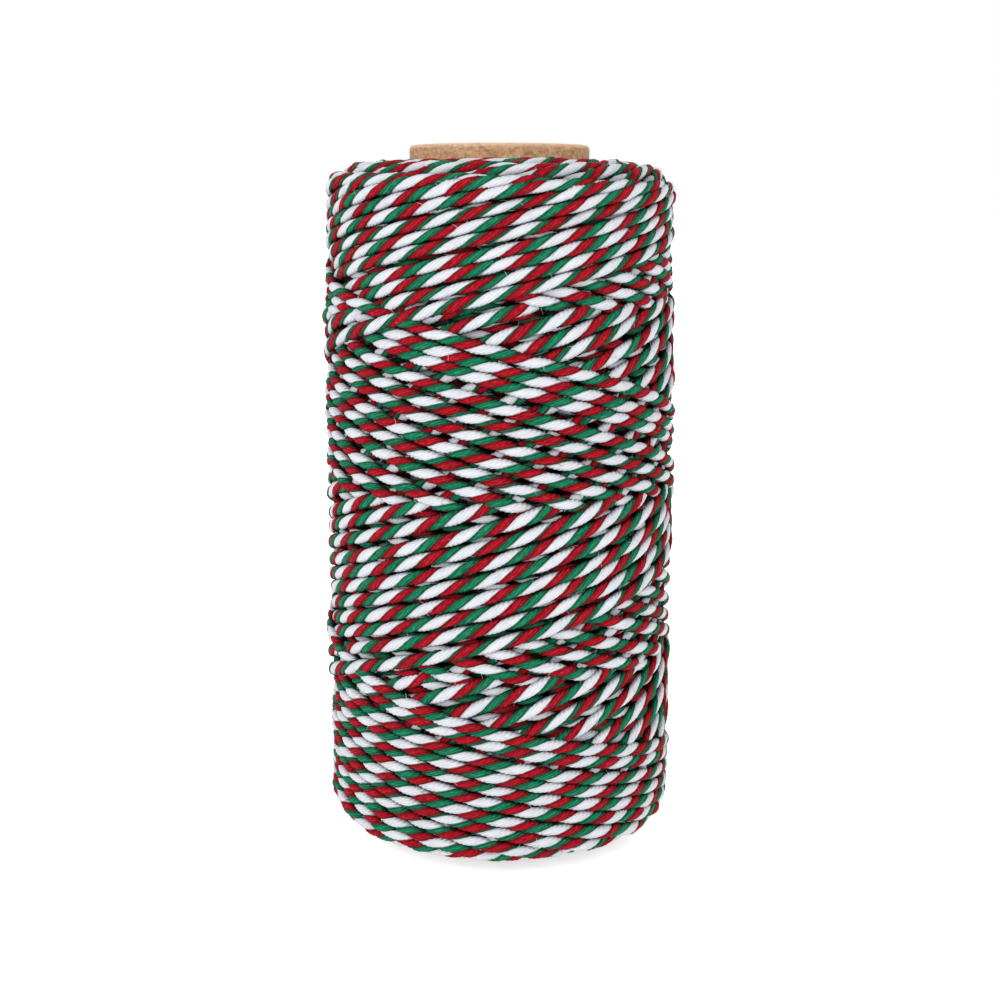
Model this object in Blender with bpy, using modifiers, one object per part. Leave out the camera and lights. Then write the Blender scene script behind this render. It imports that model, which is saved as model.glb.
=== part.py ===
"""Roll of twisted cord: a cross-wound cord package on a cardboard tube.

The roll stands on the lower rim of its tube. Units are metres, +Z is up, and the origin is at the
middle of the lower rim. The winding is one solid with its rounded shoulders and the broad diagonal
ridges of its crossing turns.
"""

import math

import bmesh
import bpy

# Driving dimensions
TUBE_LENGTH = 0.1110
TUBE_OUTER_R = 0.01415
TUBE_WALL = 0.0016
TUBE_RIM_ROUND = 0.0005         # the rolled edge of each rim
TUBE_STEPS = 64

WINDING_LOW_R = 0.0280          # outer radius over the ridges, without the fuzz of the cord
WINDING_HIGH_R = 0.0275         # the winding narrows very slightly towards the top
WINDING_BOTTOM = 0.0032         # the tube stands this far proud of the winding below
WINDING_TOP = 0.1085
TOP_SHOULDER = (0.0080, 0.0045)   # width and height of the rounded shoulder
BOTTOM_SHOULDER = (0.0036, 0.0028)
SHOULDER_POINTS = 5
FIT_GAP = 0.0003                # clearance between the tube and the winding

TURNS_PER_TRAVERSE = 2.03       # turns of cord from one end to the other
SLOPE_START = 1.35              # the traverse leaves an end faster than its mean speed
RIDGE_BANDS = 6                 # broad bands of turns round the roll, in each direction
RIDGE_DEPTH = 0.0006
RIDGE_FADE = 0.0060             # the ridges die out over this height at each end
WINDING_STEPS = 66
SIDE_ROWS = 46

PART_NAME = "roll_of_twisted_cord"


def start_empty():
    """Removes whatever the file holds, and makes the part's collection."""
    for old in list(bpy.data.objects):
        bpy.data.objects.remove(old, do_unlink=True)
    collection = bpy.data.collections.new(PART_NAME)
    bpy.context.scene.collection.children.link(collection)
    return collection


def material(name, colour, roughness, metallic=0.0):
    made = bpy.data.materials.new(name)
    made.use_nodes = True
    shader = made.node_tree.nodes["Principled BSDF"]
    shader.inputs["Base Color"].default_value = (*colour, 1.0)
    shader.inputs["Roughness"].default_value = roughness
    shader.inputs["Metallic"].default_value = metallic
    made.diffuse_color = (*colour, 1.0)
    return made


def profile_mesh(name, points):
    """A closed outline in the XZ plane. It runs down the outer side and up the bore."""
    mesh = bpy.data.meshes.new(name)
    shape = bmesh.new()
    verts = [shape.verts.new((radius, 0.0, height)) for radius, height in points]
    for vert, following in zip(verts, verts[1:] + verts[:1]):
        shape.edges.new((vert, following))
    shape.to_mesh(mesh)
    shape.free()
    return mesh


def turned(name, points, steps, collection):
    """Turns an outline once round Z."""
    made = bpy.data.objects.new(name, profile_mesh(name, points))
    collection.objects.link(made)
    screw = made.modifiers.new("Screw", "SCREW")
    screw.axis = "Z"
    screw.angle = math.tau
    screw.steps = steps
    screw.render_steps = steps
    screw.use_merge_vertices = True
    screw.merge_threshold = 0.00001
    screw.use_smooth_shade = True
    return made


def quarter_arc(centre, radial, axial, first_degrees, points):
    """Points on a quarter of an ellipse, clockwise from an angle."""
    places = []
    for step in range(points + 1):
        angle = math.radians(first_degrees - 90.0 * step / points)
        places.append((centre[0] + radial * math.cos(angle), centre[1] + axial * math.sin(angle)))
    return places


def tube_outline():
    bore = TUBE_OUTER_R - TUBE_WALL
    low = TUBE_RIM_ROUND
    high = TUBE_LENGTH - TUBE_RIM_ROUND
    outer = TUBE_OUTER_R - TUBE_RIM_ROUND
    inner = bore + TUBE_RIM_ROUND
    corners = (((outer, high), 90.0), ((outer, low), 0.0), ((inner, low), -90.0), ((inner, high), 180.0))
    points = []
    for centre, first_degrees in corners:
        points += quarter_arc(centre, TUBE_RIM_ROUND, TUBE_RIM_ROUND, first_degrees, 3)
    return points


def winding_outline():
    inner = TUBE_OUTER_R + FIT_GAP
    high = (WINDING_HIGH_R - TOP_SHOULDER[0], WINDING_TOP - TOP_SHOULDER[1])
    low = (WINDING_LOW_R - BOTTOM_SHOULDER[0], WINDING_BOTTOM + BOTTOM_SHOULDER[1])
    points = [(inner, WINDING_TOP)]
    points += quarter_arc(high, *TOP_SHOULDER, 90.0, SHOULDER_POINTS)
    for row in range(1, SIDE_ROWS):
        share = row / SIDE_ROWS
        points.append((WINDING_HIGH_R + (WINDING_LOW_R - WINDING_HIGH_R) * share,
                       high[1] + (low[1] - high[1]) * share))
    points += quarter_arc(low, *BOTTOM_SHOULDER, 0.0, SHOULDER_POINTS)
    points.append((inner, WINDING_BOTTOM))
    return points


def turns_laid(share):
    """Turns laid while a traverse covers a share, from 0 to 1, of its way; it slows evenly."""
    slowing = 2.0 * (SLOPE_START - 1.0)
    speed = math.sqrt(max(SLOPE_START ** 2 - 2.0 * slowing * share, 0.0))
    return TURNS_PER_TRAVERSE * (SLOPE_START - speed) / slowing


def ridge_height(angle, height):
    """How far the surface lies below the top of the ridges of the rising and falling turns."""
    share = min(max((height - WINDING_BOTTOM) / (WINDING_TOP - WINDING_BOTTOM), 0.0), 1.0)
    rising = math.cos(RIDGE_BANDS * (angle - math.tau * turns_laid(share)))
    falling = math.cos(RIDGE_BANDS * (angle - math.tau * turns_laid(1.0 - share)))
    from_end = min(height - WINDING_BOTTOM, WINDING_TOP - height)
    fade = min(max(from_end / RIDGE_FADE, 0.0), 1.0)
    return RIDGE_DEPTH * fade * (0.5 * max(rising, falling) - 0.5)


def carve_ridges(ring):
    """Makes the turned ring a plain mesh, and moves its outer side in between the ridges."""
    evaluated = ring.evaluated_get(bpy.context.evaluated_depsgraph_get())
    mesh = bpy.data.meshes.new_from_object(evaluated)
    ring.modifiers.clear()
    ring.data = mesh
    core_side = WINDING_HIGH_R - TOP_SHOULDER[0] / 2.0
    for vert in mesh.vertices:
        radius = math.hypot(vert.co.x, vert.co.y)
        if radius < core_side:
            continue
        moved = radius + ridge_height(math.atan2(vert.co.y, vert.co.x), vert.co.z)
        vert.co.x *= moved / radius
        vert.co.y *= moved / radius
    mesh.shade_smooth()


def core_tube(collection):
    tube = turned("core_tube", tube_outline(), TUBE_STEPS, collection)
    tube.data.materials.append(material("tube_board", (0.46, 0.29, 0.15), 0.82))
    return tube


def cord_winding(collection):
    winding = turned("cord_winding", winding_outline(), WINDING_STEPS, collection)
    carve_ridges(winding)
    winding.data.materials.append(material("cord_cotton", (0.42, 0.28, 0.27), 0.88))
    return winding


def build():
    collection = start_empty()
    core_tube(collection)
    cord_winding(collection)


build()
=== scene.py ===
"""Looks of the roll of twisted cord: the cross-wound cord, its board tube, and a plain studio.

The cord is wound turn after turn, as a winding machine lays it. Its path over an even cylinder
comes first. Then each stretch is pulled taut over the turns below it, which gives its radius. The
stretches that show from outside become twisted three-coloured cord.
"""

import math
from collections import namedtuple

import bpy
import numpy as np
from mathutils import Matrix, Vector


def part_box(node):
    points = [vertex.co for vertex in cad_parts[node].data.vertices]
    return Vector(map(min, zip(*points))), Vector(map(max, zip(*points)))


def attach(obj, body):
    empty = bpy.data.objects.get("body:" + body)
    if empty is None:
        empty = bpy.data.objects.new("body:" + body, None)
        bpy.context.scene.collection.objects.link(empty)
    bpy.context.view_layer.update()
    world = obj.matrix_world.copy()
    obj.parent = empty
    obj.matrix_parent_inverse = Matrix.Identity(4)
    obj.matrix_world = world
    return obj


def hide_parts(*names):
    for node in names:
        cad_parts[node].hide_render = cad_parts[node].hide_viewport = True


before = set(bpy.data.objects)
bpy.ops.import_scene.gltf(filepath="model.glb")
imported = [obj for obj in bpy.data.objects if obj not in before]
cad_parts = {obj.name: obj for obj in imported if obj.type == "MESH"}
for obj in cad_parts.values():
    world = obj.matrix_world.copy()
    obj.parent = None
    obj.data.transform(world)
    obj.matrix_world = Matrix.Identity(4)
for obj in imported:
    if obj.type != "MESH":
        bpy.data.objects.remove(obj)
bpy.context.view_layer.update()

MM = 0.001
TAU = math.tau

# The winding is worked out in millimetres and in turns of the roll. A double traverse lays the cord
# down and back up, and each one starts a little further round the roll than the last.
CLOSURE = 18.45                     # double traverses until the turns have gone once round
DOUBLE_TURNS = 4.0 + 1.0 / CLOSURE
RISING_PART = 0.4811                # of those turns
DOUBLES = 70
LAST_TURNS = 0.95                   # of one more traverse, which stops short
LAST_TOP_ANGLE = math.radians(159.4)  # where that one begins, round from the front
ROUND_SAMPLES = 240                 # points of the cord's path in a turn
FIRST_R, LAST_R = 15.1, 26.85       # of the cord's middle
ROUNDING = (0.014, 0.030)           # part of a traverse in which it turns back, below and above
LAW_STEPS, LAW_ROUNDS = 1500, 12    # of working out the height against the turns of a traverse
CLOSEST = 1.86                      # between neighbouring turns
MOST_PUSH = 1.0                     # that a turn is moved on at once
PUSH_SPREAD = 10.0                  # samples over which such a move is evened out
PUSH_LEAST = 0.5                    # part of it that is kept even so
UNEVEN_ENDS = (0.12, 0.20)          # where the traverses turn back, below and above
UNEVEN_FEED = ((0.14, ROUND_SAMPLES * 0.31), (0.07, ROUND_SAMPLES * 0.09))  # size, spacing in samples
UNEVEN_TRAVERSE = 0.18
STEADY_PART = 0.05                  # of a traverse at each end, where the feed is less uneven

# columns: height above the table, slope of the cord on the winding's surface
RISING = ((4, 0.645), (16, 0.495), (28, 0.347), (40, 0.257), (52, 0.269), (64, 0.393), (76, 0.358),
          (88, 0.235), (98, 0.199), (107, 0.17))
FALLING = ((4, 0.233), (16, 0.240), (28, 0.270), (40, 0.339), (52, 0.364), (64, 0.317), (76, 0.308),
           (88, 0.254), (98, 0.223), (107, 0.258))

# The form of the winding
Shoulder = namedtuple("Shoulder", "inner_r width height followed")  # followed: by the turns, 0 to 1
TOP_SHOULDER = Shoulder(19.3, 8.2, 5.0, 1.0)
BOTTOM_SHOULDER = Shoulder(24.3, 4.0, 1.1, 0.5)
SHOULDER_LIMIT = 0.985              # the shoulder's arc is left before it is upright
TAPER = -0.30                       # radius at the top, against the middle
MIDDLE_HEIGHT, HALF_HEIGHT = 54, 52  # of the winding
CORD_R = 0.93
END_INSET = (0.75, 0.65)            # from the winding's ends to its outermost turns, below and above
TUCK = 1.7                          # depth to which the cord's last points dive under the turns
TUCK_POINTS, TUCK_OVER = 22, 18     # before its end, and how many it takes to go down

# How turns lie on each other, on a grid round and up the roll
CELLS_ROUND, CELLS_UP, CELL = 720, 448, 0.25
TOUCH_WIDTH, TOUCH_HEIGHT = 0.90, 0.43
TOUCH_MEAN = 0.55                   # the mean surface lies this part of that height over the middles
CHUNK = 530                         # points pulled taut together
LOOK_AHEAD, HOLD_BACK = 26, 10      # points past a chunk that are pulled too, or laid later
PULLS = 260
PRESSINGS = 4                       # while the turns go once round the roll
PRESSING = 0.92                     # part of the unevenness that each of them takes away
PRESS_BLUR, MOVE_BLUR = (14, 8), (3, 3)  # in cells, round and up
RISE_FROM, RISE_OVER = 0.4, 1.6     # distances from the ends, before which nothing is lifted
COVERED, LEAST_COVER = 0.5, 0.05    # cord over the tube, and the least part of it that counts
LEAST_LIFT = 0.85                   # of the cord's middle off the tube

# What shows
SHOW_WIDTH, SHOW_HEIGHT = 0.98, 0.9
SHOW_POINTS = 4000                  # looked at together
SIDE_TOLERANCE, END_TOLERANCE = 0.02, 0.05
END_DEPTH = 9.0                     # turns this near an end may show from there
END_RING, END_RING_R = 64, 14       # cells across an end, and the radius of the innermost
END_WIDTH = 0.95
LEVEL_BLUR = (3, 4)                 # in cells
SEEN_R, END_BAND = 22.8, 13         # turns inside this radius show only this near an end
MARGIN = 3                          # points on each side of the ones that show
SHORTEST = 4                        # points in a stretch

# The cord
CORD_WIDE, CORD_DEEP = 0.98, 0.87   # half its width and depth
SPREAD = 0.545                      # half its width, against the spacing of the turns
SPREAD_TO = 1.12                    # half its width where the turns lie far apart
LAY_RISING, LAY_FALLING = 9.0, 7.6  # of the strands, along the cord
LAY_CHANGE = 41                     # samples in which one lay becomes the other
TWIST_WANDER = ((0.35, 60), (0.8, 900))  # size, spacing in samples
GIRTH_WANDER = ((0.03, 24), (0.02, 9))
RED_MIDDLE, RED_SHIFT = 0.5, 0.27   # of the red strand, across the coloured side
RED_GAIN, RED_SPACING = 1.6, 420    # how it wanders there
FLATTER = 0.90                      # 1 for a cord of oval section
STRAIGHTER = 0.10                   # strands cross the flattened side in straighter lines
ROWS = 20                           # of faces round the cord
YARNS = 12
WHITE_PART = 0.385                  # of the way round
RED_PART = 0.55                     # of what is not white
VALLEY = 0.21                       # depth between the strands
PLUMP = 0.8                         # under 1, the strands are fuller than a sine
LESSER, LESSER_PART = 0.10, 0.22    # a strand thinner than this part lies lower
PIECE_RINGS = 5600                  # in one mesh
STRIP_WIDTH, STRIP_GAP = 5.9, 0.5   # of the cord laid out flat, for its second UV map
STRIP_SLACK, STRIP_EDGE = 1.03, 0.04  # free ends and edges of the strips

# How much light reaches a place on the cord, painted into its colour as shade
DEEP_FROM, DEEP_OVER, DEEP_DIM = 0.75, 1.1, 0.62  # turns that lie below the others
UNDER_FROM, UNDER_OVER, UNDER_LEAST = -0.02, 0.55, 0.06  # the sides and the underside of a turn
END_LIT, END_LIT_OVER = 5, 3.5      # turns this near an end are lit from there

# Faces that look into the roll are left out, but not those near an end that look out of it
INWARD = -0.45
TOP_LEVEL, BOTTOM_LEVEL, END_FACING = 98, 12, 0.1

# The cotton hairs that stand off the cord
HAIRS = 7000
HAIR_LENGTH = (0.5, 1.3)
HAIR_LIFT = (0.05, 0.60)            # how steeply they leave the strand
HAIR_SIDE = 1.35                    # radians from the outermost line of the turn
HAIR_ROOT = 0.92                    # part of the turn's half-width at which they grow
HAIR_BEND, HAIR_SINK = 0.45, 0.20   # of their outer half, any way and back to the turn
HAIR_WIDTHS = (0.054, 0.044, 0.018)  # at the root, halfway and at the tip
HAIR_ALONG = 0.03                   # of the first UV map, for half a hair
HAIR_RADIUS = 20.0                  # hairs grow on the turns outside this
HAIR_DAYLIGHT = 0.85                # and not on turns that lie deep

# Colours
WHITE, RED, GREEN = (0.472, 0.484, 0.514, 1), (0.292, 0.003, 0.010, 1), (0.006, 0.148, 0.070, 1)
# paler flecks on the coloured strands: lighter fibres, and partly a painted highlight of fibres that catch
# the light
RED_FLECK_AND_GLINT, GREEN_FLECK_AND_GLINT = (0.640, 0.110, 0.130, 1), (0.120, 0.400, 0.260, 1)
# the bed's green and red, darkened as painted shade of the turns deep in the winding
SHADED_BED_GREEN, SHADED_BED_RED = (0.010, 0.016, 0.014, 1), (0.060, 0.020, 0.024, 1)
BOARD_DARK, BOARD_PALE = (0.225, 0.112, 0.052, 1), (0.470, 0.290, 0.165, 1)
# the paler upper rim of the tube: cut board, and partly a painted highlight
BOARD_CUT_AND_HIGHLIGHT = (0.620, 0.480, 0.340, 1)

# The tube, in metres
TUBE_WALL, TUBE_RIM = 0.0016, 0.0007
TUBE_STEPS, RIM_STEPS = 160, 4
PLY = 0.00042                       # of board, in the wall
SEAM_PITCH = 0.062                  # for one turn of the board strip

# The dark bed below the turns that show, dark with painted shade: radius, and depth below the winding's
# end
BED_TOP = ((19.5, 2.8), (22.8, 7.0), (23.2, 12.0))
BED_BOTTOM = ((23.6, 12.0), (23.2, 7.0), (19.5, 2.8))
BED_GAP, BED_DEPTH, BED_STEPS = 0.4, 2.6, 96

# The studio, in metres and watts
AREA_LIGHTS = (("key_light", (-0.45, -0.60, 0.50), (0.5, 0.5), 3.8),
               ("fill_light", (0.60, -0.45, 0.30), (0.5, 0.6), 1.5),
               ("back_light", (0.25, 0.75, 0.45), (0.6, 0.6), 3.0))
SUN_STRENGTH, SUN_WIDTH, SUN_TURN = 0.5, 60, (38, 0, -20)
FLOOR_HALF, FLOOR_GLOW = 6, 0.55
CAMERA_PLACE, CAMERA_PITCH = (0.0, -0.2350, 0.1033), 10.0
SENSOR, FOCAL_PART = 36.0, 1.462    # focal length, as a part of the sensor's width
CAMERA_SHIFT = (0.0005, -0.047)


def smooth(x):
    """Eases in and out between 0 and 1."""
    return x * x * (3 - 2 * x)


def unit(vectors):
    """The vectors, each made one long."""
    return vectors / np.linalg.norm(vectors, axis=-1, keepdims=True)


def bell(spread):
    """Reach and weights of a Gaussian."""
    reach = int(3 * spread)
    weights = np.exp(-0.5 * (np.arange(-reach, reach + 1) / spread) ** 2)
    return reach, weights / weights.sum()


def wander(rng, count, spacing):
    """Smooth noise of unit size."""
    knots = rng.normal(size=int(count / spacing) + 4)
    x = np.arange(count) / spacing
    i = x.astype(int)
    f = smooth(x - i)
    return knots[i] * (1 - f) + knots[i + 1] * f


def with_wander(even, rng, count, wanders):
    """Adds smooth noise of each size and spacing."""
    for size, spacing in wanders:
        even = even + size * wander(rng, count, spacing)
    return even


def in_scene(name, data):
    """An object of a mesh, light or camera, in the scene."""
    made = bpy.data.objects.new(name, data)
    bpy.context.scene.collection.objects.link(made)
    return made


# The path of the cord

def shoulder_drop(radius, shoulder):
    """How far a layer of turns stops short of the winding's flat end."""
    x = np.clip((radius + CORD_R - shoulder.inner_r) / shoulder.width, 0, SHOULDER_LIMIT)
    return shoulder.followed * shoulder.height * (1 - np.sqrt(1 - x * x))


def traverse_law(slopes, rising, low, high):
    """Share of the height, from 0 to 1, against the share of a traverse's turns."""
    at, slope = np.array(slopes, float).T
    x = np.linspace(0, 1, LAW_STEPS + 1)
    first, last = ROUNDING if rising else ROUNDING[::-1]
    ramp = smooth(np.clip(np.minimum(x / first, (1 - x) / last), 0, 1))
    start, sign = (low, 1) if rising else (high, -1)
    way = 300.0                     # round the roll; only a first guess
    for _ in range(LAW_ROUNDS):
        z, path = start, [start]
        for part in ramp[1:]:
            z += sign * np.interp(z, at, slope) * part * way / LAW_STEPS
            path.append(z)
        way *= (high - low) / abs(z - start)
    return x, (np.array(path) - low) / (high - low)


def laid_path(low, high):
    """Angle, height, nominal radius and traverse of each point of the cord, first to last."""
    rng = np.random.default_rng(7)
    total = DOUBLES * DOUBLE_TURNS + LAST_TURNS
    count = int(total * ROUND_SAMPLES)
    turns = np.arange(count) / ROUND_SAMPLES
    angle = LAST_TOP_ANGLE + TAU * (turns - DOUBLES * DOUBLE_TURNS)
    radius = FIRST_R + (LAST_R - FIRST_R) * turns / total

    fall = DOUBLE_TURNS * (1 - RISING_PART)
    double = np.floor(turns / DOUBLE_TURNS + 1e-9).astype(int)
    down = turns - double * DOUBLE_TURNS < fall
    traverse = 2 * double + (~down)
    began = double * DOUBLE_TURNS + np.where(down, 0, fall)
    ended = double * DOUBLE_TURNS + np.where(down, fall, DOUBLE_TURNS)
    share = (turns - began) / (ended - began)

    last_low = low + shoulder_drop(LAST_R, BOTTOM_SHOULDER)
    last_high = high - shoulder_drop(LAST_R, TOP_SHOULDER)
    up_law = traverse_law(RISING, True, last_low, last_high)
    down_law = traverse_law(FALLING, False, last_low, last_high)
    part = np.where(down, np.interp(share, *down_law), np.interp(share, *up_law))

    ends = np.abs(rng.normal(size=traverse.max() + 2))
    below, above = (ends * uneven for uneven in UNEVEN_ENDS)
    top = high - shoulder_drop(radius, TOP_SHOULDER)
    top = top - np.where(down, above[traverse], above[traverse + 1])
    bottom = low + shoulder_drop(radius, BOTTOM_SHOULDER)
    bottom = bottom + np.where(down, below[traverse + 1], below[traverse])
    z = bottom + (top - bottom) * part

    away = np.clip(np.minimum(share, 1 - share) / STEADY_PART, 0, 1)
    z += away * with_wander(0.0, rng, count, UNEVEN_FEED)
    late = rng.normal(size=traverse.max() + 2) * UNEVEN_TRAVERSE
    z += late[traverse] * away * np.where(down, 1, -1)
    keep_apart(z, down, away, radius)
    return angle, z, radius, traverse


def keep_apart(z, down, away, radius):
    """Moves each turn on where it would lie on the one beside it, laid a double traverse before."""
    back = int(DOUBLE_TURNS) * ROUND_SAMPLES
    sign = np.where(down, 1.0, -1.0)
    reach, weights = bell(PUSH_SPREAD)
    for a in range(back, len(z), CHUNK):
        b = min(a + CHUNK, len(z))
        gap = (z[a:b] - z[a - back:b - back]) * sign[a:b]
        slope = np.abs(np.gradient(z[a:b]) * ROUND_SAMPLES / (TAU * radius[a:b]))
        need = CLOSEST * np.sqrt(1 + slope ** 2)
        beside = down[a:b] == down[a - back:b - back]
        push = np.minimum(np.where(beside & (gap < need), need - gap, 0) * away[a:b], MOST_PUSH)
        even = np.convolve(np.pad(push, reach, mode="edge"), weights, "valid")
        z[a:b] += np.maximum(even, push * PUSH_LEAST) * sign[a:b]


# The turns pulled taut over each other

def blur(field, around, up):
    """Gaussian blur of a field that closes round the roll."""
    reach, weights = bell(around)
    wide = np.concatenate([field[-reach:], field, field[:reach]], 0)
    field = sum(w * wide[i:i + field.shape[0]] for i, w in enumerate(weights))
    reach, weights = bell(up)
    first, last = np.repeat(field[:, :1], reach, 1), np.repeat(field[:, -1:], reach, 1)
    wide = np.concatenate([first, field, last], 1)
    return sum(w * wide[:, i:i + field.shape[1]] for i, w in enumerate(weights))


def sampled(field, around, up):
    """Values of a field at places between its cells."""
    i = np.floor(around).astype(int)
    j = np.clip(np.floor(up).astype(int), 0, field.shape[1] - 2)
    a, b = around - i, np.clip(up - j, 0, 1)
    i0, i1 = i % field.shape[0], (i + 1) % field.shape[0]
    return (field[i0, j] * (1 - a) * (1 - b) + field[i1, j] * a * (1 - b)
            + field[i0, j + 1] * (1 - a) * b + field[i1, j + 1] * a * b)


def footprint(around, up, radius, half_width, half_height):
    """Cells under each point of the cord, and how high its round stands over each."""
    cell_arc = TAU / CELLS_ROUND * radius
    a, b = int(math.ceil(half_width / cell_arc)), int(math.ceil(half_width / CELL))
    i, j = (g.ravel() for g in np.meshgrid(np.arange(-a, a + 1), np.arange(-b, b + 1), indexing="ij"))
    rows = np.round(around).astype(int)[:, None] + i[None]
    columns = np.round(up).astype(int)[:, None] + j[None]
    x = (rows - around[:, None]) * cell_arc
    y = (columns - up[:, None]) * CELL
    inside = 1 - (x * x + y * y) / half_width ** 2
    height = half_height * np.sqrt(np.maximum(inside, 0))
    return rows % CELLS_ROUND, np.clip(columns, 0, CELLS_UP - 1), height, inside > 0


def wind(angle, z, nominal, low, high, tube_r):
    """Pulls the cord taut over the turns below it, chunk by chunk, and gives its radius."""
    count = len(angle)
    surface = np.full((CELLS_ROUND, CELLS_UP), tube_r)
    radius = np.zeros(count)
    around, up = angle / TAU * CELLS_ROUND, z / CELL
    bend = 2 * math.cos(TAU / ROUND_SAMPLES)
    press_every = int(CLOSURE / PRESSINGS * DOUBLE_TURNS * ROUND_SAMPLES / CHUNK) * CHUNK
    for a in range(0, count, CHUNK):
        b = min(a + CHUNK, count)
        pulled = slice(a, min(b + LOOK_AHEAD, count))
        rows, columns, height, inside = footprint(around[pulled], up[pulled], nominal[a],
                                                  TOUCH_WIDTH, TOUCH_HEIGHT)
        lowest = np.where(inside, surface[rows, columns] + height, 0).max(axis=1)
        # a taut stretch between two touches is straight, so 1 / radius follows a cosine there
        most = 1 / lowest
        u = most.copy()
        before = 1 / radius[a - 1] if a else u[0]
        for _ in range(PULLS):
            beside = np.concatenate([[before], u[:-1]]) + np.concatenate([u[1:], [u[-1]]])
            u = np.minimum(most, beside / bend)
        radius[a:b] = 1 / u[:b - a]
        laid = slice(max(a - HOLD_BACK, 0), b - HOLD_BACK if b < count else b)
        rows, columns, height, inside = footprint(around[laid], up[laid], nominal[a],
                                                  TOUCH_WIDTH, TOUCH_HEIGHT)
        level = radius[laid][:, None] + height
        np.maximum.at(surface, (rows[inside], columns[inside]), level[inside])
        if (a and a % press_every == 0) or b == count:
            press(surface, radius[:b], around[:b], up[:b], nominal[b - 1], low, high, tube_r)
    return radius


def press(surface, radius, around, up, nominal, low, high, tube_r):
    """Evens the winding out to its nominal form, as the pull of later turns does."""
    heights = np.arange(CELLS_UP) * CELL
    taper = TAPER * (heights - MIDDLE_HEIGHT) / HALF_HEIGHT * (nominal - tube_r) / (LAST_R - tube_r)
    goal = np.minimum(nominal + taper, end_form(heights, low, high)) + TOUCH_HEIGHT * TOUCH_MEAN
    covered = (surface > tube_r + COVERED).astype(float)
    lack = blur((goal[None] - surface) * covered, *PRESS_BLUR)
    move = lack / np.maximum(blur(covered, *PRESS_BLUR), LEAST_COVER) * PRESSING * covered
    from_end = np.minimum(high - heights, heights - low)
    rise = np.clip((from_end - RISE_FROM) / RISE_OVER, 0, 1)
    move = blur(np.where(move > 0, move * rise, move), *MOVE_BLUR)
    surface[:] = np.maximum(surface + move, tube_r)
    radius[:] = np.maximum(radius + sampled(move, around, up), tube_r + LEAST_LIFT)


def end_form(heights, low, high):
    """Greatest radius of the cord's middle, over the rounded ends."""
    over, least, flare = 0.6, 0.02, 0.25
    form = 1e3
    for from_end, shoulder in ((high - heights, TOP_SHOULDER), (heights - low, BOTTOM_SHOULDER)):
        inside = np.clip((from_end + over) / shoulder.height, least, 1)
        past = np.maximum(from_end + over - shoulder.height, 0)
        arc = shoulder.inner_r + shoulder.width * np.sqrt(1 - (1 - inside) ** 2)
        form = np.minimum(form, arc - CORD_R + past * flare)
    return form


# What shows of the cord

def seen_from_sides(around, up, radius):
    """Points that no turn covers, and the level of the outermost turns."""
    seen = np.zeros(len(radius), bool)
    top = np.zeros((CELLS_ROUND, CELLS_UP))
    spots = []
    for a in range(0, len(radius), SHOW_POINTS):
        s = slice(a, a + SHOW_POINTS)
        rows, columns, height, inside = footprint(around[s], up[s], radius[s].mean(),
                                                  SHOW_WIDTH, SHOW_HEIGHT)
        level = np.where(inside, radius[s][:, None] + height, 0)
        np.maximum.at(top, (rows, columns), level)
        spots.append((s, rows, columns, level))
    for s, rows, columns, level in spots:
        seen[s] |= ((level > 0) & (level >= top[rows, columns] - SIDE_TOLERANCE)).any(axis=1)
    return seen, top


def seen_from_end(angle, z, radius, end, sign):
    """Points near an end that no turn covers from there."""
    near = np.where((z - end) * sign > -END_DEPTH)[0]
    ring = np.full((CELLS_ROUND // 2, END_RING), -1e3)
    i = np.round(angle[near] / TAU * CELLS_ROUND / 2).astype(int)
    cells = []
    for di in range(-1, 2):
        for dj in range(-3, 4):
            j = np.clip(np.round((radius[near] - END_RING_R) / CELL).astype(int) + dj, 0, END_RING - 1)
            level = z[near] * sign + SHOW_HEIGHT * math.sqrt(1 - (dj * CELL / END_WIDTH) ** 2)
            cells.append(((i + di) % (CELLS_ROUND // 2), j, level))
            np.maximum.at(ring, cells[-1][:2], level)
    seen = np.zeros(len(near), bool)
    for rows, columns, level in cells:
        seen |= level >= ring[rows, columns] - END_TOLERANCE
    return near[seen]


def shows(angle, z, radius, low, high):
    """Which points of the cord are made, and the level of the outermost turns."""
    keep, top = seen_from_sides(angle / TAU * CELLS_ROUND, z / CELL, radius)
    for end, sign in ((high, 1), (low, -1)):
        keep[seen_from_end(angle, z, radius, end, sign)] = True
    keep &= (radius > SEEN_R) | (z > high - END_BAND) | (z < low + END_BAND)
    wide = np.convolve(keep, np.ones(2 * MARGIN + 1), "same") > 0
    return wide, blur(top, *LEVEL_BLUR)


def stretches(keep):
    """Runs of points that are kept, as (first, last + 1)."""
    edge = np.diff(np.concatenate([[0], keep.astype(int), [0]]))
    ends = zip(np.where(edge == 1)[0], np.where(edge == -1)[0])
    return [(a, b) for a, b in ends if b - a >= SHORTEST]


# The twisted cord

def cross_section(share, red_middle):
    """Radius factor round the cord: plump strands with valleys between them."""
    colour = 1 - WHITE_PART
    red_from = WHITE_PART + colour * (red_middle - RED_PART / 2)
    red_to = red_from + colour * RED_PART
    factor = np.ones(np.broadcast(share, red_middle).shape)
    for first, last in ((0.0, WHITE_PART), (WHITE_PART, red_from), (red_from, red_to), (red_to, 1.0)):
        part = last - first
        across = np.clip((share - first) / part, 0, 1)
        lower = LESSER * np.clip(1 - part / LESSER_PART, 0, 1)
        lobe = 1 - (1 - np.sin(np.pi * across) ** PLUMP) * VALLEY - lower
        factor = np.where((share >= first) & (share <= last), lobe, factor)
    return factor


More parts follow.
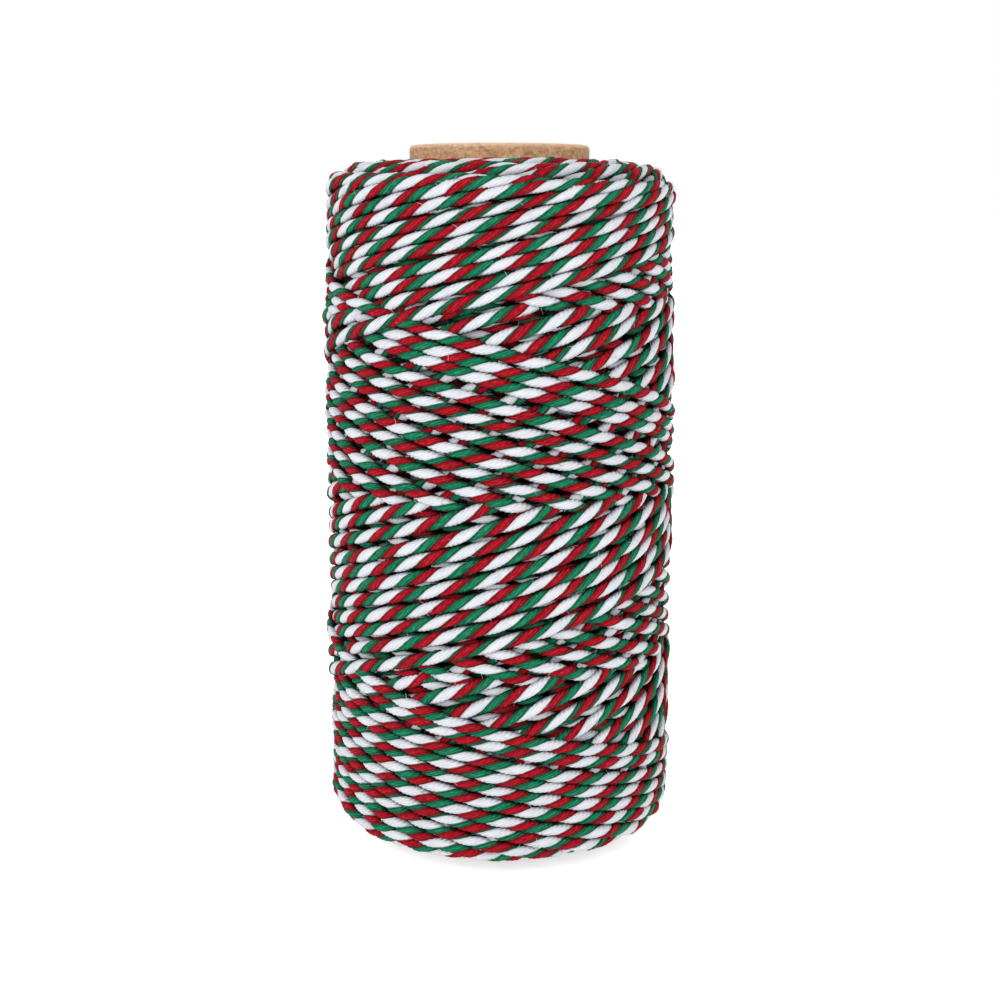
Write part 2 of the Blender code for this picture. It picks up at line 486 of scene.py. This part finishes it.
def cord_arrays(angle, z, radius, falling):
    """Places, directions, twist and size of the cord at each of its points."""
    place = np.stack([radius * np.sin(angle), -radius * np.cos(angle), z], 1)
    step = np.linalg.norm(np.diff(place, axis=0), axis=1)
    along = np.concatenate([[0], np.cumsum(step)])
    rng = np.random.default_rng(11)
    count = len(angle)
    lay = LAY_RISING + (LAY_FALLING - LAY_RISING) * falling
    twist = TAU * np.concatenate([[0], np.cumsum(step / lay[1:])])
    twist = with_wander(twist, rng, count, TWIST_WANDER)
    middle = RED_MIDDLE + RED_SHIFT * np.clip(RED_GAIN * wander(rng, count, RED_SPACING), -1, 1)
    girth = with_wander(1, rng, count, GIRTH_WANDER)
    tangent = unit(np.gradient(place, axis=0))
    apart = np.abs(tangent[:, 2]) * TAU * radius / CLOSURE
    wide = np.clip(SPREAD * apart, CORD_WIDE, SPREAD_TO)
    outward = np.stack([np.sin(angle), -np.cos(angle), np.zeros(count)], 1)
    side = unit(np.cross(outward, tangent))
    out = np.cross(tangent, side)
    return dict(place=place, along=along, twist=twist, middle=middle, girth=girth, out=out, side=side,
                wide=wide)


def build_cords(cord, keep):
    """Joined meshes of twisted cord, each under the triangle limit."""
    half = PIECE_RINGS // 2
    runs = [(c, min(c + half + 1, b)) for a, b in stretches(keep) for c in range(a, b - 1, half)]
    batches, batch, rings = [], [], 0
    for run in runs:
        if rings + run[1] - run[0] > PIECE_RINGS and batch:
            batches.append(batch)
            batch, rings = [], 0
        batch.append(run)
        rings += run[1] - run[0]
    batches.append(batch)
    white_rows = int(round(ROWS * WHITE_PART))
    share = np.concatenate([np.linspace(0, WHITE_PART, white_rows, endpoint=False),
                            np.linspace(WHITE_PART, 1, ROWS - white_rows, endpoint=False)])
    return [cord_mesh("cord_turns_%02d" % number, batch, cord, share)
            for number, batch in enumerate(batches)]


def round_power(values):
    """Makes a circle's sines or cosines those of a fuller or flatter round."""
    return np.sign(values) * np.abs(values) ** FLATTER


def cord_surface(cord, a, b, share):
    """Vertices of a stretch of cord, ring after ring, and the light that reaches each, which is painted
    shade.
    """
    factor = cross_section(share[None, :], cord["middle"][a:b, None]) * cord["girth"][a:b, None]
    turn = cord["twist"][a:b, None] + TAU * share[None, :]
    turn = turn - STRAIGHTER * np.sin(2 * turn)
    out, side = cord["out"][a:b, None], cord["side"][a:b, None]
    x = factor * CORD_DEEP * round_power(np.cos(turn))
    y = factor * cord["wide"][a:b, None] * round_power(np.sin(turn))
    ring = cord["place"][a:b, None] + x[..., None] * out + y[..., None] * side
    # painted shade: the sides and underside of a turn are darker, unless they face out of a near end
    lift = np.cos(turn) * out[..., 2] + np.sin(turn) * side[..., 2]
    bare = np.maximum(np.cos(turn), lift * cord["to_end"][a:b, None])
    bare = smooth(np.clip((bare - UNDER_FROM) / UNDER_OVER, 0, 1))
    light = (UNDER_LEAST + (1 - UNDER_LEAST) * bare) * cord["painted_light"][a:b, None]
    return ring.reshape(-1, 3), light.ravel()


def tube_quads(base, rings):
    """Faces between rings of ROWS vertices, the first of them at base."""
    i = np.arange(rings - 1)[:, None] * ROWS
    j = np.arange(ROWS)[None]
    k = (j + 1) % ROWS
    quads = np.stack([base + i + j, base + i + ROWS + j, base + i + ROWS + k, base + i + k], -1)
    return quads.reshape(-1, 4)


def cord_maps(cord, a, b, share, laid, strip, strips):
    """Corner values of a stretch's faces: the share round, the way along, and the second UV map.

    The second map lays the same faces side by side in strips over the unit square."""
    shape = (b - a - 1, ROWS, 4)
    u = np.concatenate([share, [1.0]])
    u = np.stack([u[:-1], u[:-1], u[1:], u[1:]], -1)
    v = cord["along"][a:b]
    v = np.stack([v[:-1], v[1:], v[1:], v[:-1]], -1)
    number = np.floor((laid + v[:, :1] - v[0, 0]) / strip)
    x = (laid + v - v[0, 0] - number * strip) / (strip * STRIP_SLACK)
    y = (number[:, None] + STRIP_EDGE + (1 - 2 * STRIP_EDGE) * u[None]) / (strips + 1)
    unfolded = np.stack([np.broadcast_to(x[:, None], shape), np.broadcast_to(y, shape)], -1)
    return (np.broadcast_to(u[None], shape).reshape(-1, 4),
            np.broadcast_to(v[:, None], shape).reshape(-1, 4), unfolded.reshape(-1, 4, 2))


def faces_seen(vertices, quads):
    """Which faces don't look into the roll."""
    corner = vertices[quads]
    normal = np.cross(corner[:, 2] - corner[:, 0], corner[:, 3] - corner[:, 1])
    normal /= np.linalg.norm(normal, axis=1)[:, None] + 1e-12
    centre = corner.mean(axis=1)
    outward = (normal[:, :2] * unit(centre[:, :2])).sum(axis=1)
    level = centre[:, 2]
    return ((outward > INWARD) | ((level > TOP_LEVEL) & (normal[:, 2] > -END_FACING))
            | ((level < BOTTOM_LEVEL) & (normal[:, 2] < END_FACING)))


def cord_mesh(name, batch, cord, share):
    """One mesh of twisted cord along the stretches of a batch."""
    base, laid = 0, 0.0
    length = sum(cord["along"][b - 1] - cord["along"][a] + STRIP_GAP for a, b in batch)
    strips = int(math.ceil(math.sqrt(length / STRIP_WIDTH)))
    parts = []
    for a, b in batch:
        vertices, light = cord_surface(cord, a, b, share)
        around, along, unfolded = cord_maps(cord, a, b, share, laid, length / strips, strips)
        middle = np.repeat(cord["middle"][a:b], ROWS)
        parts.append((vertices, tube_quads(base, b - a), around, along, unfolded, middle, light))
        laid += cord["along"][b - 1] - cord["along"][a] + STRIP_GAP
        base += (b - a) * ROWS
    vertices, quads, around, along, unfolded, middle, light = (np.concatenate(p) for p in zip(*parts))
    seen = faces_seen(vertices, quads)
    used, quads = np.unique(quads[seen], return_inverse=True)
    uv = np.stack([around[seen].ravel(), along[seen].ravel() / LAY_RISING], 1)
    return cord_piece(name, vertices[used] * MM, quads.reshape(-1, 4), uv, unfolded[seen],
                      middle[used], light[used])


def cord_piece(name, vertices, quads, uv, unfolded, middle, light):
    """A mesh of quads with what the cord's material reads: two UV maps and two attributes."""
    mesh = bpy.data.meshes.new(name)
    mesh.vertices.add(len(vertices))
    mesh.vertices.foreach_set("co", vertices.astype(np.float32).ravel())
    mesh.loops.add(quads.size)
    mesh.loops.foreach_set("vertex_index", quads.astype(np.int32).ravel())
    mesh.polygons.add(len(quads))
    mesh.polygons.foreach_set("loop_start", np.arange(0, quads.size, 4, dtype=np.int32))
    mesh.update(calc_edges=True)
    for map_name, places in (("cord", uv), ("OFBake", unfolded)):
        layer = mesh.uv_layers.new(name=map_name)
        layer.data.foreach_set("uv", places.astype(np.float32).ravel())
    for attribute_name, values in (("red_middle", middle), ("painted_light", light)):
        attribute = mesh.attributes.new(attribute_name, "FLOAT", "POINT")
        attribute.data.foreach_set("value", values.astype(np.float32))
    mesh.shade_smooth()
    return in_scene(name, mesh)


def cord_hairs(cord, shown):
    """Short hairs on the outer side of the turns, as narrow ribbons with the cord's own look."""
    rng = np.random.default_rng(23)
    at = rng.choice(np.where(shown)[0], HAIRS)
    theta = rng.uniform(-HAIR_SIDE, HAIR_SIDE, HAIRS)
    share = ((theta - cord["twist"][at]) / TAU) % 1.0
    out, side = cord["out"][at], cord["side"][at]
    along = np.cross(side, out)
    c, s = np.cos(theta)[:, None], np.sin(theta)[:, None]
    root = cord["place"][at] + HAIR_ROOT * (CORD_DEEP * c * out + cord["wide"][at, None] * s * side)
    normal = unit(c * out + s * side)
    spin = rng.uniform(0, TAU, HAIRS)[:, None]
    level = np.cos(spin) * along + np.sin(spin) * np.cross(normal, along)
    first = unit(level + rng.uniform(*HAIR_LIFT, HAIRS)[:, None] * normal)
    second = unit(first + HAIR_BEND * rng.normal(size=(HAIRS, 3)) - HAIR_SINK * normal)
    half = rng.uniform(*HAIR_LENGTH, HAIRS)[:, None] / 2
    across = unit(np.cross(first, normal))
    points = np.stack([root, root + half * first, root + half * (first + second)], 1)
    widths = np.array(HAIR_WIDTHS)[None, :, None] / 2
    edges = np.stack([points - widths * across[:, None], points + widths * across[:, None]], 2)
    corners = np.array(((0, 1, 3, 2), (2, 3, 5, 4)))
    quads = (np.arange(HAIRS)[:, None, None] * 6 + corners[None]).reshape(-1, 4)
    u = np.broadcast_to(share[:, None, None], (HAIRS, 2, 4))
    v = cord["along"][at][:, None, None] / LAY_RISING + (corners // 2)[None] * HAIR_ALONG
    # the second UV map gives each hair a cell of a grid
    grid = int(math.ceil(math.sqrt(HAIRS)))
    cell = np.arange(HAIRS)[:, None, None]
    x = (cell % grid + 0.1 + 0.4 * (corners // 2)[None]) / grid
    y = (cell // grid + 0.2 + 0.6 * (corners % 2)[None]) / grid
    return cord_piece("cord_hairs", edges.reshape(-1, 3) * MM, quads, np.stack([u, v], -1),
                      np.stack([x, y], -1), np.repeat(cord["middle"][at], 6),
                      np.repeat(cord["painted_light"][at], 6))


# Materials

class Nodes:
    """Short way to build the nodes of a material."""

    def __init__(self, name):
        self.material = bpy.data.materials.new(name)
        self.material.use_nodes = True
        self.tree = self.material.node_tree
        self.shader = self.tree.nodes["Principled BSDF"]

    def add(self, kind, inputs=None, **settings):
        node = self.tree.nodes.new(kind)
        for key, value in settings.items():
            setattr(node, key, value)
        for key, value in (inputs or {}).items():
            self.put(node.inputs[key], value)
        return node

    def put(self, socket, value):
        if isinstance(value, bpy.types.NodeSocket):
            self.tree.links.new(value, socket)
        else:
            socket.default_value = value

    def surface(self, inputs):
        """Sets inputs of the shader."""
        for key, value in inputs.items():
            self.put(self.shader.inputs[key], value)

    def object_place(self):
        return self.add("ShaderNodeTexCoord").outputs["Object"]

    def attribute(self, name):
        return self.add("ShaderNodeAttribute", attribute_name=name).outputs["Fac"]

    def split(self, vector):
        return self.add("ShaderNodeSeparateXYZ", {"Vector": vector}).outputs

    def noise(self, place, scale, detail=2.0, roughness=0.5):
        inputs = {"Vector": place, "Scale": scale, "Detail": detail, "Roughness": roughness}
        return self.add("ShaderNodeTexNoise", inputs).outputs["Fac"]

    def math(self, operation, *values, clamp=False):
        node = self.add("ShaderNodeMath", operation=operation, use_clamp=clamp)
        for socket, value in zip(node.inputs, values):
            self.put(socket, value)
        return node.outputs[0]

    def plus(self, one, other):
        return self.math("ADD", one, other)

    def minus(self, one, other):
        return self.math("SUBTRACT", one, other)

    def times(self, one, other):
        return self.math("MULTIPLY", one, other)

    def apart(self, one, other):
        return self.math("ABSOLUTE", self.minus(one, other))

    def least(self, one, other):
        return self.math("MINIMUM", one, other)

    def ramp(self, value, low, high, to_low=0.0, to_high=1.0):
        inputs = {"Value": value, "From Min": low, "From Max": high, "To Min": to_low, "To Max": to_high}
        return self.add("ShaderNodeMapRange", inputs).outputs["Result"]

    def between(self, part, at_none, at_all):
        return self.ramp(part, 0.0, 1.0, at_none, at_all)

    def mix(self, part, one, other):
        node = self.add("ShaderNodeMix", data_type="RGBA")
        for key, value in ((0, part), (6, one), (7, other)):
            self.put(node.inputs[key], value)
        return node.outputs[2]

    def shaded(self, colour, shade):
        """A colour times a number."""
        grey = self.add("ShaderNodeCombineColor", {0: shade, 1: shade, 2: shade}).outputs[0]
        inputs = {0: 1.0, 6: colour, 7: grey}
        return self.add("ShaderNodeMix", data_type="RGBA", blend_type="MULTIPLY", inputs=inputs).outputs[2]

    def bump(self, height, strength, distance):
        inputs = {"Strength": strength, "Distance": distance, "Height": height}
        self.surface({"Normal": self.add("ShaderNodeBump", inputs).outputs["Normal"]})


def cord_material():
    """White, red and green strands, told apart by the share of the way round the cord."""
    m = Nodes("cord_cotton_look")
    uv = m.split(m.add("ShaderNodeUVMap", uv_map="cord").outputs["UV"])
    around, along = uv["X"], uv["Y"]
    middle = m.attribute("red_middle")

    def streaks(fine, long_, layer, **settings):
        """Noise drawn out along the cord, and so along its strands."""
        place = {"X": m.times(around, fine), "Y": m.times(along, long_), "Z": layer}
        return m.noise(m.add("ShaderNodeCombineXYZ", place).outputs[0], 1.0, **settings)

    fibre = streaks(36.0, 9.0, 0.0, detail=3.0, roughness=0.6)
    fleck_and_glint = streaks(64.0, 18.0, 9.1)
    warp = streaks(3.0, 1.3, 3.7)
    tone = m.noise(m.object_place(), 260.0)

    # the strands' edges follow the fibres a little
    soft = 0.012
    u = m.plus(around, m.times(m.minus(fibre, 0.5), 0.06))
    white = m.times(m.ramp(u, -0.014, 0.010), m.ramp(u, WHITE_PART + soft, WHITE_PART - soft))
    white = m.math("MAXIMUM", white, m.ramp(u, 0.986, 1.010), clamp=True)
    from_red = m.apart(m.math("DIVIDE", m.minus(u, WHITE_PART), 1 - WHITE_PART), middle)
    red = m.ramp(from_red, RED_PART / 2 + soft, RED_PART / 2 - soft)
    coloured = m.mix(red, GREEN, RED)
    # paler flecks: partly lighter fibres, partly a painted highlight where fibres catch the light
    coloured = m.mix(m.ramp(fleck_and_glint, 0.50, 0.80, 0.0, 0.34), coloured, m.mix(red, GREEN_FLECK_AND_GLINT, RED_FLECK_AND_GLINT))
    base = m.mix(white, coloured, WHITE)

    # fibres and yarns, which show more on the coloured strands; the dark lines between the yarns are
    # painted shade
    shade = m.plus(1.0, m.times(m.between(white, 0.50, 0.13), m.ramp(fibre, 0.30, 0.70, -1.25, 0.75)))
    shade = m.plus(shade, m.ramp(tone, 0.3, 0.7, -0.05, 0.05))
    yarn = m.math("SINE", m.plus(m.times(around, math.pi * YARNS), m.times(warp, 5.0)))
    yarn = m.math("ABSOLUTE", yarn)
    yarn_groove_shade = m.minus(1.0, m.ramp(yarn, 0.0, 0.55))
    shade = m.times(shade, m.minus(1.0, m.times(yarn_groove_shade, m.between(white, 0.60, 0.17))))

    # painted shade: less light reaches the valleys between the strands, and the turns that lie deeper, so
    # the colour is darkened there
    from_white = m.least(m.apart(around, WHITE_PART), m.least(around, m.minus(1.0, around)))
    from_edge = m.least(from_white, m.times(1 - WHITE_PART, m.apart(from_red, RED_PART / 2)))
    valley = m.ramp(from_edge, m.between(white, 0.125, 0.040), 0.0)
    shade = m.times(shade, m.minus(1.0, m.times(m.between(white, 0.62, 0.14), valley)))
    dimmed = m.math("POWER", m.attribute("painted_light"), m.between(white, 1.8, 1.0))
    shade = m.times(shade, dimmed)

    m.surface({"Base Color": m.shaded(base, shade), "Roughness": m.ramp(fibre, 0.2, 0.8, 0.72, 0.92),
               "Specular IOR Level": 0.04, "Sheen Weight": 0.01, "Sheen Roughness": 0.5})
    m.bump(m.plus(m.times(fibre, 0.5), m.times(yarn, 0.8)), 0.6, 0.00012)
    return m.material


def bed_material():
    """The turns below the ones that show: a mixture of their colours, dark with painted shade."""
    m = Nodes("cord_bed_look")
    noise = m.noise(m.object_place(), 700.0)
    colour = m.mix(m.ramp(noise, 0.35, 0.65), SHADED_BED_GREEN, SHADED_BED_RED)
    m.surface({"Base Color": colour, "Roughness": 0.95, "Specular IOR Level": 0.1})
    m.bump(noise, 0.5, 0.0003)
    return m.material


def board_material(height):
    """Brown board wound in a spiral, with its fibres and plies."""
    m = Nodes("tube_board_look")
    place = m.object_place()
    x, y, z = m.split(place)
    mottle = m.noise(place, 1500.0, detail=4.0, roughness=0.75)
    round_the_tube = m.add("ShaderNodeMapping", {"Vector": place, "Scale": (700.0, 700.0, 2600.0)})
    fibre = m.noise(round_the_tube.outputs[0], 1.0, detail=3.0)
    both = m.plus(m.times(mottle, 0.65), m.times(fibre, 0.35))
    colour = m.mix(m.ramp(both, 0.38, 0.62), BOARD_DARK, BOARD_PALE)

    # the cut plies of the upper rim, which is paler: partly the cut board, partly a painted highlight
    rim = m.ramp(z, height - TUBE_RIM, height - 0.0001)
    radius = m.math("SQRT", m.plus(m.math("POWER", x, 2.0), m.math("POWER", y, 2.0)))
    plies = m.math("SINE", m.times(radius, TAU / PLY))
    colour = m.mix(m.times(rim, 0.55), colour, BOARD_CUT_AND_HIGHLIGHT)
    shade = m.minus(1.0, m.times(rim, m.ramp(plies, -1.0, 1.0, 0.0, 0.12)))

    # the seam of the board strip, which runs round the tube in a spiral
    round_ = m.math("DIVIDE", m.math("ARCTAN2", y, x), TAU)
    climb = m.plus(round_, m.math("DIVIDE", z, SEAM_PITCH))
    from_seam = m.apart(m.math("FRACT", climb), 0.5)
    shade = m.times(shade, m.ramp(from_seam, 0.0, 0.008, 0.72, 1.0))

    m.surface({"Base Color": m.shaded(colour, shade), "Roughness": m.ramp(fibre, 0.3, 0.7, 0.75, 0.9),
               "Specular IOR Level": 0.3})
    m.bump(both, 0.35, 0.0002)
    return m.material


# The tube and the bed

def turned_mesh(name, outline, steps):
    """A closed outline of (radius, height), turned once round Z."""
    points = np.array(outline, float)
    n = len(points)
    radius, height = points.T[:, None]
    angle = np.arange(steps)[:, None] / steps * TAU
    ring = np.stack([radius * np.cos(angle), radius * np.sin(angle),
                     np.broadcast_to(height, (steps, n))], -1).reshape(-1, 3)
    faces = []
    for s in range(steps):
        t = (s + 1) % steps
        for p in range(n):
            q = (p + 1) % n
            faces.append((s * n + p, s * n + q, t * n + q, t * n + p))
    mesh = bpy.data.meshes.new(name)
    mesh.from_pydata([tuple(v) for v in ring], [], faces)
    mesh.shade_smooth()
    return in_scene(name, mesh)


def winding_bed(low, high, tube_r):
    """A dark core below the turns that show, so that no light comes through between them; its dark colour
    is painted shade.
    """
    inner = tube_r + BED_GAP
    outline = [(inner, high - BED_DEPTH)]
    outline += [(radius, high - depth) for radius, depth in BED_TOP]
    outline += [(radius, low + depth) for radius, depth in BED_BOTTOM]
    outline += [(inner, low + BED_DEPTH)]
    bed = turned_mesh("winding_bed", [(r * MM, h * MM) for r, h in outline], BED_STEPS)
    bed.data.materials.append(bed_material())
    return bed


def fine_tube(low, high):
    """The board tube again, finely turned, with rolled rims."""
    outer, inner = high.x - TUBE_RIM, high.x - TUBE_WALL + TUBE_RIM
    upper, lower = high.z - TUBE_RIM, low.z + TUBE_RIM
    outline = []
    for x, z, first in ((outer, upper, 90), (outer, lower, 0), (inner, lower, -90), (inner, upper, 180)):
        for k in range(RIM_STEPS + 1):
            a = math.radians(first - 90 * k / RIM_STEPS)
            outline.append((x + TUBE_RIM * math.cos(a), z + TUBE_RIM * math.sin(a)))
    tube = turned_mesh("board_tube", outline, TUBE_STEPS)
    tube.data.materials.append(board_material(high.z))
    return tube


# The studio

def studio_floor():
    """A pale floor with a glow of its own, which is painted light: it lightens the roll's shadow on the
    floor and lights the roll from below.
    """
    h = FLOOR_HALF
    mesh = bpy.data.meshes.new("studio_floor")
    mesh.from_pydata([(-h, -h, 0), (h, -h, 0), (h, h, 0), (-h, h, 0)], [], [(0, 1, 2, 3)])
    floor = in_scene("studio_floor", mesh)
    m = Nodes("studio_floor_look")
    colour = m.mix(m.noise(m.object_place(), 8.0), (0.93, 0.93, 0.93, 1), (0.95, 0.95, 0.95, 1))
    m.surface({"Base Color": colour, "Roughness": 0.9, "Emission Color": (1.0, 1.0, 1.0, 1.0),
               "Emission Strength": FLOOR_GLOW})
    mesh.materials.append(m.material)
    return floor


def area_light(name, place, size, power, aim):
    light = bpy.data.lights.new(name, "AREA")
    light.shape = "RECTANGLE"
    light.size, light.size_y = size
    light.energy = power
    made = in_scene(name, light)
    made.location = place
    way = Vector([a - b for a, b in zip(aim, place)])
    made.rotation_euler = way.to_track_quat("-Z", "Y").to_euler()


def studio(centre_height):
    """White world, pale floor, soft lights and the camera."""
    scene = bpy.context.scene
    floor = studio_floor()

    world = bpy.data.worlds.new("studio_world")
    world.use_nodes = True
    background = world.node_tree.nodes["Background"]
    background.inputs[0].default_value = (1.0, 1.0, 1.0, 1.0)
    background.inputs[1].default_value = 1.0
    scene.world = world

    for name, place, size, power in AREA_LIGHTS:
        area_light(name, place, size, power, (0, 0, centre_height))
    sun = bpy.data.lights.new("soft_sun", "SUN")
    sun.energy, sun.angle = SUN_STRENGTH, math.radians(SUN_WIDTH)
    in_scene("soft_sun", sun).rotation_euler = [math.radians(turn) for turn in SUN_TURN]

    camera = bpy.data.cameras.new("photo_camera")
    camera.sensor_width = SENSOR
    camera.lens = SENSOR * FOCAL_PART
    camera.shift_x, camera.shift_y = CAMERA_SHIFT
    camera.clip_start, camera.clip_end = 0.01, 20.0
    scene.camera = in_scene("photo_camera", camera)
    scene.camera.location = CAMERA_PLACE
    scene.camera.rotation_euler = (math.radians(90 - CAMERA_PITCH), 0, 0)
    scene.view_settings.view_transform = "Standard"


def add_light(cord, angle, z, radius, level, low, high):
    """Adds to each point how near an end it is (1 above, -1 below), and how much light reaches it, as
    painted shade.
    """
    from_end = np.minimum(high + 1 - z, z - low + 1)
    near_end = np.clip((END_LIT - from_end) / END_LIT_OVER, 0, 1)
    cord["to_end"] = near_end * np.sign(z - (low + high) / 2)
    # painted shade: turns that lie deeper than the outermost ones are darkened, but not near the ends
    sunk = sampled(level, angle / TAU * CELLS_ROUND, z / CELL) - radius
    dim = np.clip((sunk - DEEP_FROM) / DEEP_OVER, 0, 1) * (1 - np.abs(cord["to_end"]))
    cord["painted_light"] = 1 - DEEP_DIM * dim


def wound_cord(low, high, tube_r):
    """The pieces of cord, wound between two heights in millimetres."""
    angle, z, nominal, traverse = laid_path(low, high)
    radius = wind(angle, z, nominal, low, high, tube_r)
    tuck = np.clip((np.arange(len(radius)) - len(radius) + TUCK_POINTS) / TUCK_OVER, 0, 1)
    radius = radius - TUCK * smooth(tuck)
    keep, level = shows(angle, z, radius, low, high)
    falling = np.convolve(traverse % 2 == 0, np.ones(LAY_CHANGE) / LAY_CHANGE, "same")
    cord = cord_arrays(angle, z, radius, falling)
    add_light(cord, angle, z, radius, level, low, high)
    cords = build_cords(cord, keep)
    hairy = keep & (cord["painted_light"] > HAIR_DAYLIGHT) & (radius > HAIR_RADIUS)
    cords.append(cord_hairs(cord, hairy))
    look = cord_material()
    for piece in cords:
        piece.data.materials.append(look)
    return cords


def main():
    tube_low, tube_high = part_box("core_tube")
    wind_low, wind_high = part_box("cord_winding")
    low = wind_low.z / MM + END_INSET[0]
    high = wind_high.z / MM - END_INSET[1]
    tube_r = tube_high.x / MM
    cords = wound_cord(low, high, tube_r)
    bed = winding_bed(low, high, tube_r)
    for piece in cords + [bed]:
        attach(piece, "root")
        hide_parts("cord_winding")
    tube = fine_tube(tube_low, tube_high)
    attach(tube, "root")
    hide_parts("core_tube")
    studio((tube_low.z + tube_high.z) / 2)


main()
